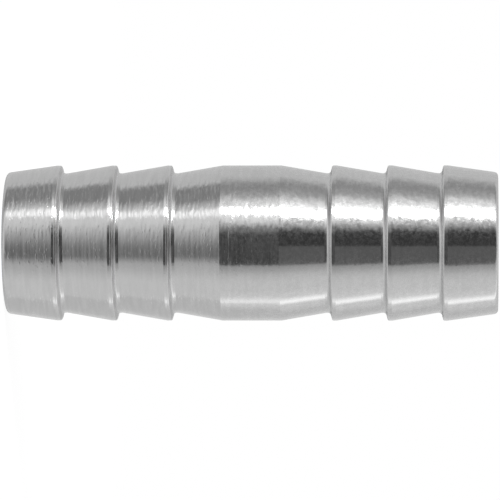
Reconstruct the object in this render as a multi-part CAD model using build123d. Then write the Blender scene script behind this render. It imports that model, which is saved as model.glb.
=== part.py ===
from build123d import *
from math import cos, radians, sin, tan
import os

# A straight double-ended hose connector, turned as one piece from a bar of metal.
# A hose is pushed over each barbed tail until it reaches the plain collar in the middle.
# The axis is Z. The connector stands on one end face, with the origin at that face's middle.
# Lengths are in millimetres and angles in degrees.

# The bore and the metal round it
bore_diameter = 10.0
mouth_chamfer = 0.3     # at each mouth of the bore, along the axis and across it
tip_wall = 1.36         # wall at the end face, out to where the nose cone would meet it
root_wall = 1.3         # wall at the bottom of the groove behind a barb
barb_depth = 0.7        # how far a barb's crest stands above that groove

# One tail, from its end face to the collar
barb_count = 3
nose_length = 4.9       # from the end face to the first crest
barb_pitch = 5.0        # from one crest to the next
crest_land = 0.35       # plain ring along the top of each barb
crest_chamfer = 0.15    # off each side of the crest's sharp edge
shoulder_rake = 15.0    # lean of the shoulder behind the crest, away from square
root_land = 0.4         # plain ring along the bottom of the groove
last_taper = 4.6        # from the last crest to the collar
end_round = 0.3         # corner between the end face and the nose cone

# The plain collar between the tails, as wide as the bar that the barbs are cut from
collar_length = 5.3

# What follows from these sizes
bore_radius = bore_diameter / 2
tip_radius = bore_radius + tip_wall
root_radius = bore_radius + root_wall
crest_radius = root_radius + barb_depth
shoulder_reach = barb_depth * tan(radians(shoulder_rake))
chamfer_reach = crest_chamfer * sin(radians(shoulder_rake))
chamfer_drop = crest_chamfer * cos(radians(shoulder_rake))
tail_length = nose_length + (barb_count - 1) * barb_pitch + last_taper
total_length = 2 * tail_length + collar_length


def barb_corners(crest_at):
    """One barb's corners: its crest land, the chamfered edge, the shoulder and the groove."""
    root_at = crest_at + shoulder_reach
    return [
        (crest_at - crest_land, crest_radius, 0),
        (crest_at - crest_chamfer, crest_radius, 0),
        (crest_at + chamfer_reach, crest_radius - chamfer_drop, 0),
        (root_at, root_radius, 0),
        (root_at + root_land, root_radius, 0),
    ]


def tail_corners():
    """One tail's corners, from the bore's mouth over the barbs to the collar.

    Each is its distance from the end face, its radius from the axis and its corner's round.
    """
    corners = [
        (mouth_chamfer, bore_radius, 0),
        (0, bore_radius + mouth_chamfer, 0),
        (0, tip_radius, end_round),
    ]
    for barb in range(barb_count):
        corners += barb_corners(nose_length + barb * barb_pitch)
    corners.append((tail_length, crest_radius, 0))
    return corners


def half_section():
    """The metal on one side of the axis: a tail, the collar, and the same tail mirrored."""
    lower = tail_corners()
    upper = [(total_length - along, radius, bend) for along, radius, bend in reversed(lower)]
    corners = lower + upper
    outline = FilletPolyline(
        [(radius, along) for along, radius, _ in corners],
        radius=[bend for _, _, bend in corners],
        close=True,
    )
    return make_face(Plane.XZ * outline)


hose_connector = revolve(half_section(), Axis.Z)
hose_connector.label = "hose_connector"

os.makedirs("parts", exist_ok=True)
export_step(hose_connector, "parts/hose_connector.step")
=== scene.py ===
from math import acos, atan2, ceil, cos, pi, radians, sin, tan

import bpy
from mathutils import Matrix, Vector


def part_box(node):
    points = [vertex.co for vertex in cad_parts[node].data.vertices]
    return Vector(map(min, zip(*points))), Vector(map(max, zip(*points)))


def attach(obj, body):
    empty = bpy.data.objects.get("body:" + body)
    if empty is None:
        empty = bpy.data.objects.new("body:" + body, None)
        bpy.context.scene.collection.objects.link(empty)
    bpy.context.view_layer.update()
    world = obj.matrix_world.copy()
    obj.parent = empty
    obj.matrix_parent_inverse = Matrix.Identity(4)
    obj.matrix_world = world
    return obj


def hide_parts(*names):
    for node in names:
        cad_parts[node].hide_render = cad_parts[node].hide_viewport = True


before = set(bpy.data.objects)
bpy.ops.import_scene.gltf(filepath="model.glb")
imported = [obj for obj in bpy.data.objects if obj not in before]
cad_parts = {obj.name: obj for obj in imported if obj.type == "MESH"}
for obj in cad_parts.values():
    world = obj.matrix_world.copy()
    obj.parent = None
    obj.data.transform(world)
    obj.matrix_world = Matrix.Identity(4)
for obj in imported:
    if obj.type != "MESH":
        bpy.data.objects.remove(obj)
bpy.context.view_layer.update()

# A straight hose connector, turned from a bar of bright metal, standing on its lower end face.
# Its axis is Z. Profile sizes are in millimetres, and the mesh is made in metres.
MM = 0.001

lowest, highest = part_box("hose_connector")
total_length = (highest.z - lowest.z) / MM
crest_radius = highest.x / MM

# The bore
bore_radius = 5.0
mouth_chamfer = 0.3
drilled_radius = bore_radius + 0.03      # the drilled finish ends at each mouth's chamfer

# One tail
barb_count = 3
tip_radius = 6.36        # of the nose cone, where it would meet the end face
root_radius = 6.3        # at the bottom of the groove behind a barb
nose_length = 4.9        # from the end face to the first crest
barb_pitch = 5.0         # from one crest to the next
crest_land = 0.39        # plain ring along the top of a barb
shoulder_rake = 15.0     # degrees from square
root_land = 0.37         # the groove's bottom, mostly taken up by the round beside it
last_taper = 4.6         # from the last crest to the collar
tail_length = nose_length + (barb_count - 1) * barb_pitch + last_taper

# How the tool and the polish left each corner
end_round = 0.40
crest_round = 0.14
root_round = 0.28
cone_round = 0.15        # where a cone runs out onto a land or the collar
mouth_round = 0.06

# The fine line that the tool left round each crest land of the lower tail
tool_line_back = 0.17    # from the crest
tool_line_width = 0.08
tool_line_depth = 0.012
tool_line_round = 0.02

# How finely the mesh is divided
segments = 200           # round the axis
arc_step = 9.0           # degrees from one ring to the next on a round, at most
fewest_arc_steps = 3     # on a round that turns only a little
edge_hold = 0.04         # from a straight run's end to the ring that keeps the run straight
shortest_held_run = 3 * edge_hold        # a shorter one gets no such rings


# The turned profile

def tool_line(middle):
    """The corners of the fine line that the tool left on a crest land."""
    return [
        (middle - tool_line_width / 2, crest_radius, tool_line_round),
        (middle, crest_radius - tool_line_depth, tool_line_round),
        (middle + tool_line_width / 2, crest_radius, tool_line_round),
    ]


def tail_corners(with_tool_lines):
    """One tail's corners from the bore's mouth to the collar: place along the axis, radius, round."""
    rake_reach = (crest_radius - root_radius) * tan(radians(shoulder_rake))
    corners = [
        (mouth_chamfer, bore_radius, mouth_round),
        (0, bore_radius + mouth_chamfer, mouth_round),
        (0, tip_radius, end_round),
    ]
    for barb in range(barb_count):
        crest_at = nose_length + barb * barb_pitch
        root_at = crest_at + rake_reach
        corners.append((crest_at - crest_land, crest_radius, cone_round))
        if with_tool_lines:
            corners += tool_line(crest_at - tool_line_back)
        corners += [
            (crest_at, crest_radius, crest_round),
            (root_at, root_radius, root_round),
            (root_at + root_land, root_radius, cone_round),
        ]
    corners.append((tail_length, crest_radius, cone_round))
    return corners


def section_corners():
    """The whole section's corners: the lower tail, then the upper one as its mirror image."""
    upper = tail_corners(with_tool_lines=False)
    mirrored = [(total_length - along, radius, bend) for along, radius, bend in reversed(upper)]
    return tail_corners(with_tool_lines=True) + mirrored


def rounded_corner(before, corner, after):
    """The points of the arc that rounds one corner of the section."""
    place = Vector(corner[:2])
    bend = corner[2]
    back = (Vector(before[:2]) - place).normalized()
    on = (Vector(after[:2]) - place).normalized()
    half_angle = acos(max(-1.0, min(1.0, back.dot(on)))) / 2
    centre = place + (back + on).normalized() * bend / sin(half_angle)
    start = place + back * bend / tan(half_angle) - centre
    end = place + on * bend / tan(half_angle) - centre
    first = atan2(start.y, start.x)
    turn = (atan2(end.y, end.x) - first + pi) % (2 * pi) - pi
    steps = max(fewest_arc_steps, ceil(abs(turn) / radians(arc_step)))
    angles = [first + turn * step / steps for step in range(steps + 1)]
    return [centre + bend * Vector((cos(angle), sin(angle))) for angle in angles]


def section_points():
    """The rounded section as a closed run of points, with one near each end of a straight run."""
    corners = section_corners()
    rounded = []
    for index, corner in enumerate(corners):
        after = corners[(index + 1) % len(corners)]
        rounded += rounded_corner(corners[index - 1], corner, after)
    points = []
    for start, end in zip(rounded, rounded[1:] + rounded[:1]):
        run = end - start
        points.append(start)
        if run.length > shortest_held_run:
            hold = run.normalized() * edge_hold
            points += [start + hold, end - hold]
    return points


def turn_about_axis(points):
    """The mesh that the section sweeps round the axis, with the faces of the bore marked."""
    vertices = []
    for along, radius in points:
        for segment in range(segments):
            angle = 2 * pi * segment / segments
            vertices.append((radius * cos(angle) * MM, radius * sin(angle) * MM, along * MM))
    faces = []
    materials = []
    for ring in range(len(points)):
        next_ring = (ring + 1) % len(points)
        in_bore = max(points[ring].y, points[next_ring].y) < drilled_radius
        for segment in range(segments):
            next_segment = (segment + 1) % segments
            faces.append((
                ring * segments + segment,
                ring * segments + next_segment,
                next_ring * segments + next_segment,
                next_ring * segments + segment,
            ))
            materials.append(int(in_bore))
    mesh = bpy.data.meshes.new("turned_hose_connector")
    mesh.from_pydata(vertices, [], faces)
    mesh.polygons.foreach_set("material_index", materials)
    mesh.polygons.foreach_set("use_smooth", [True] * len(faces))
    mesh.update()
    return mesh


# Node helpers

def connect(tree, value, socket):
    """Links a socket to another one, or gives it a plain value."""
    if isinstance(value, bpy.types.NodeSocket):
        tree.links.new(value, socket)
    else:
        socket.default_value = value


def place_node(tree, kind, settings=None, **inputs):
    """Adds a node. Each input is a plain value, or a socket that is linked to it."""
    node = tree.nodes.new(kind)
    for name, value in (settings or {}).items():
        setattr(node, name, value)
    for name, value in inputs.items():
        connect(tree, value, node.inputs[name.replace("_", " ")])
    return node


def compute(tree, operation, *values):
    """The result of a Math node on one to three values or sockets."""
    node = place_node(tree, "ShaderNodeMath", {"operation": operation})
    for socket, value in zip(node.inputs, values):
        connect(tree, value, socket)
    return node.outputs["Value"]


def ramp(tree, value, start, end, low=0.0, high=1.0):
    """A smooth change from low to high as value goes from start to end."""
    node = place_node(
        tree, "ShaderNodeMapRange", {"interpolation_type": "SMOOTHSTEP"},
        Value=value, From_Min=start, From_Max=end, To_Min=low, To_Max=high,
    )
    return node.outputs["Result"]


def between(tree, value, low, high, low_fade, high_fade):
    """1 where value lies between low and high, with edges that fade over the widths given."""
    rising = ramp(tree, value, low - low_fade / 2, low + low_fade / 2)
    falling = ramp(tree, value, high - high_fade / 2, high + high_fade / 2, 1.0, 0.0)
    return compute(tree, "MULTIPLY", rising, falling)


def blend_values(tree, share, first, second):
    """first where share is 0, second where it is 1."""
    node = place_node(tree, "ShaderNodeMix", {"data_type": "FLOAT"}, Factor=share)
    connect(tree, first, node.inputs["A"])
    connect(tree, second, node.inputs["B"])
    return node.outputs["Result"]


def node_group(name, inputs, outputs):
    """A shader node group with its named sockets, and its input and output nodes."""
    tree = bpy.data.node_groups.new(name, "ShaderNodeTree")
    for socket_name, (kind, default) in inputs.items():
        socket = tree.interface.new_socket(socket_name, in_out="INPUT", socket_type=kind)
        if default is not None:
            socket.default_value = default
    for socket_name, kind in outputs.items():
        tree.interface.new_socket(socket_name, in_out="OUTPUT", socket_type=kind)
    return tree, tree.nodes.new("NodeGroupInput"), tree.nodes.new("NodeGroupOutput")


def use_group(tree, group, **inputs):
    """Places a node group with its own values."""
    return place_node(tree, "ShaderNodeGroup", {"node_tree": group}, **inputs)


def new_metal(name):
    """A material, its node tree and its Principled shader, made metallic."""
    material = bpy.data.materials.new(name)
    material.use_nodes = True
    shader = material.node_tree.nodes["Principled BSDF"]
    shader.inputs["Metallic"].default_value = 1.0
    return material, material.node_tree, shader


def place_in_mm(tree, coordinates):
    """The place on the connector in millimetres."""
    scaled = place_node(
        tree, "ShaderNodeVectorMath", {"operation": "SCALE"},
        Vector=coordinates.outputs["Object"], Scale=1 / MM,
    )
    return scaled.outputs["Vector"]


# Finishes of the metal

def turning_marks_group():
    """Fine rings left by the lathe tool, which fade in and out along their arcs."""
    tree, given, result = node_group(
        "Turning marks",
        {
            "Place": ("NodeSocketVector", None),
            "Rings per mm": ("NodeSocketFloat", 6.0),
            "Breaks per mm": ("NodeSocketFloat", 0.25),
        },
        {"Height": "NodeSocketFloat"},
    )
    parts = place_node(tree, "ShaderNodeSeparateXYZ", Vector=given.outputs["Place"])
    from_axis = compute(
        tree, "SQRT",
        compute(
            tree, "ADD",
            compute(tree, "MULTIPLY", parts.outputs["X"], parts.outputs["X"]),
            compute(tree, "MULTIPLY", parts.outputs["Y"], parts.outputs["Y"]),
        ),
    )
    # Rings lie along the axis on the sides, and across it on the end faces
    ring_place = compute(tree, "ADD", parts.outputs["Z"], from_axis)
    stretched = place_node(
        tree, "ShaderNodeCombineXYZ",
        X=compute(tree, "MULTIPLY", parts.outputs["X"], given.outputs["Breaks per mm"]),
        Y=compute(tree, "MULTIPLY", parts.outputs["Y"], given.outputs["Breaks per mm"]),
        Z=compute(tree, "MULTIPLY", ring_place, given.outputs["Rings per mm"]),
    )
    rings = place_node(
        tree, "ShaderNodeTexNoise", Vector=stretched.outputs["Vector"], Scale=1.0, Detail=0.0
    )
    tree.links.new(rings.outputs["Fac"], result.inputs["Height"])
    return tree


def polish_group():
    """The faint clouds of haze that polishing leaves over the metal."""
    tree, given, result = node_group(
        "Polish",
        {"Place": ("NodeSocketVector", None), "Clouds per mm": ("NodeSocketFloat", 2.5)},
        {"Haze": "NodeSocketFloat"},
    )
    clouds = place_node(
        tree, "ShaderNodeTexNoise",
        Vector=given.outputs["Place"], Scale=given.outputs["Clouds per mm"], Detail=2.0, Roughness=0.6,
    )
    tree.links.new(ramp(tree, clouds.outputs["Fac"], 0.35, 0.65), result.inputs["Haze"])
    return tree


def turned_metal(turning_marks, polish):
    """The bright outside: turned, then polished until only fine rings, grain and haze are left."""
    darkest, palest = 0.68, 0.72
    polished_roughness = 0.11
    shoulder_roughness = 0.38
    ring_bump_depth = 0.011 * MM
    grain_bump_depth = 0.022 * MM
    scratch_depth = 0.5           # next to the rings' full swing of 1
    first_cut_depth = 3.2         # of the rings on the collar's lower end, next to the others
    first_cut_length = 1.2
    first_cut_fades = (0.1, 0.6)
    ring_haze = 1.5               # how strongly the haze follows the rings

    # The share of the tool's marks that the polish left, and the haze that it brought, on the lower
    # tail and then on the upper one, with the stretch of the axis over which each changes
    marks_kept = (0.82, 0.3)
    marks_change = (tail_length - 3.0, tail_length + 8.0)
    haze_brought = (0.35, 0.9)
    haze_change = (tail_length - 8.0, tail_length + 6.0)
    nose_marks = 1.4              # left on the lower nose, next to the rest of that tail
    nose_change = (nose_length - 0.5, nose_length + 0.5)

    material, tree, shader = new_metal("bright_turned_metal")
    coordinates = place_node(tree, "ShaderNodeTexCoord")
    place = place_in_mm(tree, coordinates)
    parts = place_node(tree, "ShaderNodeSeparateXYZ", Vector=place)
    across = parts.outputs["X"]
    along = parts.outputs["Z"]
    facing = place_node(tree, "ShaderNodeSeparateXYZ", Vector=coordinates.outputs["Normal"]).outputs["Z"]
    rings = use_group(tree, turning_marks, Place=place, Rings_per_mm=3.5, Breaks_per_mm=0.4)
    scratches = use_group(tree, turning_marks, Place=place, Rings_per_mm=7.5, Breaks_per_mm=2.6)
    grain = use_group(tree, turning_marks, Place=place, Rings_per_mm=3.4, Breaks_per_mm=1.2)
    polished = use_group(tree, polish, Place=place, Clouds_per_mm=3.4)

    # The upper tail was polished for longer than the lower one, and the lower nose the least. The
    # tool's first cut on the collar left deeper rings, and short scratches lie among the rings.
    kept = compute(
        tree, "MULTIPLY",
        ramp(tree, along, *marks_change, *marks_kept),
        ramp(tree, along, *nose_change, nose_marks, 1.0),
    )
    first_cut = between(tree, along, tail_length, tail_length + first_cut_length, *first_cut_fades)
    ring_swing = compute(
        tree, "MULTIPLY", compute(tree, "SUBTRACT", rings.outputs["Height"], 0.5), kept
    )
    ring_depth = compute(
        tree, "MULTIPLY", ring_swing, blend_values(tree, first_cut, 1.0, first_cut_depth)
    )
    scratch = ramp(tree, scratches.outputs["Height"], 0.62, 0.86, 0.0, scratch_depth)
    ring_height = compute(tree, "ADD", ring_depth, compute(tree, "MULTIPLY", scratch, kept))
    ring_bump = place_node(
        tree, "ShaderNodeBump", Strength=1.0, Distance=ring_bump_depth, Height=ring_height
    )

    # The -X side is speckled where it rubbed against other parts
    rubbed = ramp(tree, across, -1.5, 0.5, 1.0, 0.1)
    grain_height = compute(
        tree, "MULTIPLY", compute(tree, "SUBTRACT", grain.outputs["Height"], 0.5), rubbed
    )
    grain_bump = place_node(
        tree, "ShaderNodeBump", Strength=1.0, Distance=grain_bump_depth, Height=grain_height,
        Normal=ring_bump.outputs["Normal"],
    )

    # The haze that the polish left is stronger on the upper tail, and follows the rings too
    hazy = ramp(tree, along, *haze_change, *haze_brought)
    clouds = compute(tree, "MULTIPLY", polished.outputs["Haze"], hazy)
    haze = compute(tree, "MULTIPLY_ADD", ring_swing, ring_haze, clouds)
    haze = compute(tree, "MAXIMUM", compute(tree, "MINIMUM", haze, 1.0), 0.0)

    # The polish doesn't reach the shoulders and the end faces, so they stay duller
    unpolished = ramp(tree, compute(tree, "ABSOLUTE", facing), 0.3, 0.6)
    roughness = blend_values(tree, unpolished, polished_roughness, shoulder_roughness)
    colour = blend_values(tree, rings.outputs["Height"], darkest, palest)
    shader.inputs["Coat Roughness"].default_value = 0.3
    shader.inputs["Coat IOR"].default_value = 2.5
    tree.links.new(colour, shader.inputs["Base Color"])
    tree.links.new(roughness, shader.inputs["Roughness"])
    tree.links.new(haze, shader.inputs["Coat Weight"])
    tree.links.new(grain_bump.outputs["Normal"], shader.inputs["Normal"])
    return material


def drilled_metal(turning_marks):
    """The bore: drilled and not polished, so it is duller and its rings are coarser."""
    grey = 0.62
    smoothest, roughest = 0.25, 0.5
    ring_bump_depth = 0.012 * MM

    material, tree, shader = new_metal("drilled_bore_metal")
    place = place_in_mm(tree, place_node(tree, "ShaderNodeTexCoord"))
    rings = use_group(tree, turning_marks, Place=place, Rings_per_mm=3.0, Breaks_per_mm=0.1)
    bump = place_node(
        tree, "ShaderNodeBump", Strength=1.0, Distance=ring_bump_depth, Height=rings.outputs["Height"]
    )
    roughness = blend_values(tree, rings.outputs["Height"], smoothest, roughest)
    shader.inputs["Base Color"].default_value = (grey, grey, grey, 1.0)
    tree.links.new(roughness, shader.inputs["Roughness"])
    tree.links.new(bump.outputs["Normal"], shader.inputs["Normal"])
    return material


# The studio

def surroundings_group():
    """What stands round the metal in the studio, by direction: a pale room, one long lamp and dark gaps.

    Around is the direction's angle about the axis from -Y towards -X, and up its angle above the
    horizon, both in degrees. Backdrop is 1 where the white backdrop stands behind the connector.
    """
    tree, given, result = node_group(
        "Studio surroundings",
        {"Direction": ("NodeSocketVector", None)},
        {"Light": "NodeSocketFloat", "Backdrop": "NodeSocketFloat"},
    )
    parts = place_node(tree, "ShaderNodeSeparateXYZ", Vector=given.outputs["Direction"])
    around = compute(
        tree, "DEGREES",
        compute(
            tree, "ARCTAN2",
            compute(tree, "MULTIPLY", parts.outputs["X"], -1.0),
            compute(tree, "MULTIPLY", parts.outputs["Y"], -1.0),
        ),
    )
    up = compute(tree, "DEGREES", compute(tree, "ARCSINE", parts.outputs["Z"]))

    no_edge = 200       # past every angle, for a panel that runs on

    def panel(light, brightness, sides, side_fades, ends=(-no_edge, no_edge), end_fades=(1, 1)):
        """Sets a lamp, wall or gap before what is there already.

        Its sides are angles around and its ends are angles up. Each edge fades over its own width.
        """
        shape = compute(
            tree, "MULTIPLY",
            between(tree, around, *sides, *side_fades),
            between(tree, up, *ends, *end_fades),
        )
        return blend_values(tree, shape, light, brightness)

    # The three heights that the metal mirrors towards the camera
    low = {"ends": (-no_edge, -12), "end_fades": (1, 8)}       # the lower tail's cones
    middle = {"ends": (-12, 6), "end_fades": (8, 8)}           # the collar and the crest lands
    high = {"ends": (6, no_edge), "end_fades": (8, 1)}         # the upper tail's cones

    # The pale room, a little greyer behind on each side
    room = 0.68
    light = panel(room, 0.61, (108, no_edge), (14, 1))
    light = panel(light, 0.60, (-150, -99), (20, 6))
    # A pale strip on the +X side, with a bright line down its middle
    light = panel(light, 0.76, (-112, -82), (16, 18), (-10, no_edge), (8, 1))
    light = panel(light, 1.08, (-101, -92), (6, 12), (-11, 6), (6, 8))
    light = panel(light, 0.72, (-125, -99), (16, 6), **high)
    light = panel(light, 1.35, (-105, -96), (8, 13), **high)
    # The shaded wall beside the gap that the camera looks through
    light = panel(light, 0.50, (-50, -20), (34, 4))
    light = panel(light, 0.35, (-41, -20), (22, 4), (-12, no_edge), (8, 1))
    # The grey flag beside the long lamp
    light = panel(light, 0.26, (59, 104), (26, 14), **low)
    light = panel(light, 0.31, (70, 107), (40, 28), **middle)
    light = panel(light, 0.32, (76, 113), (44, 24), (6, 48), (8, 12))
    # The long lamp, with a glow at each side of it and a dim lower end
    light = panel(light, 0.76, (24, 59), (14, 34), **low)
    light = panel(light, 0.85, (20, 44), (4, 6), **middle)
    light = panel(light, 0.58, (20, 44), (4, 6), **high)
    light = panel(light, 0.85, (54, 67), (10, 20), **middle)
    light = panel(light, 0.95, (54, 70), (10, 22), **high)
    dim_end = ramp(tree, up, -34, -12, 0.82, 1.45)
    light = panel(light, dim_end, (43, 53), (6, 10), (-34, 0), (8, 4))
    light = panel(light, 18.0, (44, 53), (4, 3), (1.5, 33), (15, 10))
    # The gap that the camera looks through: grey near the floor, dark above, with a faint glow at
    # the edge that is nearer to the lamp
    light = panel(light, 0.17, (-28, 11), (17, 50), (-32, -12), (24, 8))
    light = panel(light, 0.045, (-33, 26), (3, 20), (-13, 76), (16, 12))
    light = panel(light, 0.08, (-33, 18), (3, 20), (-3.5, 6), (2, 6))
    light = panel(light, 0.25, (17, 22), (10, 8), (-6, 6), (4, 6))
    light = panel(light, 0.12, (-34.5, -5), (3, 1), (6, 76), (4, 12))
    # Gaps behind the connector, a grey one above the horizon and a darker one below it
    for brightness, ends in ((0.27, (14, 25)), (0.13, (-64, -12))):
        light = panel(light, brightness, (168, no_edge), (12, 1), ends, (10, 10))
        light = panel(light, brightness, (-no_edge, -168), (1, 12), ends, (10, 10))
    tree.links.new(light, result.inputs["Light"])

    # The white backdrop, about as wide as the camera sees
    backdrop_side, backdrop_end, backdrop_fade = 175, 5, 4
    fades = (backdrop_fade, backdrop_fade)
    in_front = between(tree, around, -backdrop_side, backdrop_side, *fades)
    backdrop = compute(
        tree, "MULTIPLY",
        compute(tree, "SUBTRACT", 1.0, in_front),
        between(tree, up, -backdrop_end, backdrop_end, *fades),
    )
    tree.links.new(backdrop, result.inputs["Backdrop"])
    return tree


def studio_world(surroundings):
    """White where the camera sees it, and the studio's surroundings for light and reflections.

    Where the metal mirrors the backdrop, it shows the same white that the camera sees.
    """
    white = (1, 1, 1, 1)
    world = bpy.data.worlds.new("studio")
    bpy.context.scene.world = world
    world.use_nodes = True
    tree = world.node_tree
    tree.nodes.clear()
    direction = place_node(tree, "ShaderNodeTexCoord").outputs["Generated"]
    studio = use_group(tree, surroundings, Direction=direction)
    seen_in_metal = place_node(
        tree, "ShaderNodeBackground", Color=white, Strength=studio.outputs["Light"]
    )
    seen_by_camera = place_node(tree, "ShaderNodeBackground", Color=white, Strength=1.0)
    rays = place_node(tree, "ShaderNodeLightPath").outputs
    mirrored = compute(tree, "MAXIMUM", rays["Is Glossy Ray"], rays["Is Transmission Ray"])
    mirrors_backdrop = compute(tree, "MULTIPLY", mirrored, studio.outputs["Backdrop"])
    choice = place_node(
        tree, "ShaderNodeMixShader",
        Fac=compute(tree, "MAXIMUM", rays["Is Camera Ray"], mirrors_backdrop),
    )
    tree.links.new(seen_in_metal.outputs["Background"], choice.inputs[1])
    tree.links.new(seen_by_camera.outputs["Background"], choice.inputs[2])
    output = tree.nodes.new("ShaderNodeOutputWorld")
    tree.links.new(choice.outputs["Shader"], output.inputs["Surface"])


def pale_floor_finish():
    """White that is partly matt near the connector, where it keeps the shadow, and plain further out."""
    fade_start, fade_end = 0.05, 0.15     # metres from the connector's foot
    matt_grey = 0.3
    own_light = 0.84                      # beside the matt part, so that both together are white

    material = bpy.data.materials.new("pale_floor")
    material.use_nodes = True
    tree = material.node_tree
    tree.nodes.clear()
    place = place_node(tree, "ShaderNodeTexCoord").outputs["Object"]
    from_foot = place_node(tree, "ShaderNodeVectorMath", {"operation": "LENGTH"}, Vector=place)
    far = ramp(tree, from_foot.outputs["Value"], fade_start, fade_end)
    grey = blend_values(tree, far, matt_grey, 0.0)
    matt_colour = place_node(tree, "ShaderNodeCombineColor", Red=grey, Green=grey, Blue=grey)
    matt = place_node(tree, "ShaderNodeBsdfDiffuse", Color=matt_colour.outputs["Color"])
    white = place_node(
        tree, "ShaderNodeEmission",
        Color=(1, 1, 1, 1), Strength=blend_values(tree, far, own_light, 1.0),
    )
    both = tree.nodes.new("ShaderNodeAddShader")
    tree.links.new(white.outputs["Emission"], both.inputs[0])
    tree.links.new(matt.outputs["BSDF"], both.inputs[1])
    output = tree.nodes.new("ShaderNodeOutputMaterial")
    tree.links.new(both.outputs["Shader"], output.inputs["Surface"])
    return material


def pale_floor():
    """A white floor, which only the camera sees, and which fades into the backdrop."""
    half_side = 1.5                       # metres
    mesh = bpy.data.meshes.new("floor")
    corners = [(x * half_side, y * half_side, 0) for x, y in ((-1, -1), (1, -1), (1, 1), (-1, 1))]
    mesh.from_pydata(corners, [], [(0, 1, 2, 3)])
    floor = bpy.data.objects.new("floor", mesh)
    floor.data.materials.append(pale_floor_finish())
    bpy.context.scene.collection.objects.link(floor)
    floor.visible_glossy = False
    floor.visible_diffuse = False
    floor.visible_shadow = False


# The camera

def photograph_camera():
    """The camera lies on its side, because the photograph shows the connector lying across the frame."""
    frame_width = 500            # pixels, and the frame is as high as it is wide
    centre_column = 252.3        # where the connector's middle shows in the photograph
    centre_row = 243.0
    focal_pixels = 4764.0
    distance = 0.43              # metres, from the connector's middle
    yaw = radians(2.47)          # how much nearer the upper end is turned

    data = bpy.data.cameras.new("photograph_camera")
    data.sensor_width = 36.0
    data.lens = focal_pixels / frame_width * data.sensor_width
    data.clip_start = 0.01
    camera = bpy.data.objects.new("photograph_camera", data)
    bpy.context.scene.collection.objects.link(camera)

    middle = Vector((0, 0, total_length * MM / 2))
    forward = Vector((0, cos(yaw), -sin(yaw)))
    right = Vector((0, sin(yaw), cos(yaw)))
    up = Vector((-1, 0, 0))
    place = middle - forward * distance
    aim = middle
    aim = aim + right * (frame_width / 2 - centre_column) / focal_pixels * distance
    aim = aim + up * (centre_row - frame_width / 2) / focal_pixels * distance
    look = (aim - place).normalized()
    side = look.cross(up).normalized()
    top = side.cross(look)
    turned = Matrix((side, top, -look)).transposed().to_4x4()
    camera.matrix_world = Matrix.Translation(place) @ turned
    bpy.context.scene.camera = camera


bpy.context.scene.view_settings.view_transform = "Standard"

photograph_camera()
pale_floor()
studio_world(surroundings_group())

turning_marks = turning_marks_group()
connector = bpy.data.objects.new("turned_hose_connector", turn_about_axis(section_points()))
bpy.context.scene.collection.objects.link(connector)
connector.data.materials.append(turned_metal(turning_marks, polish_group()))
connector.data.materials.append(drilled_metal(turning_marks))
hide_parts("hose_connector")
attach(connector, "root")
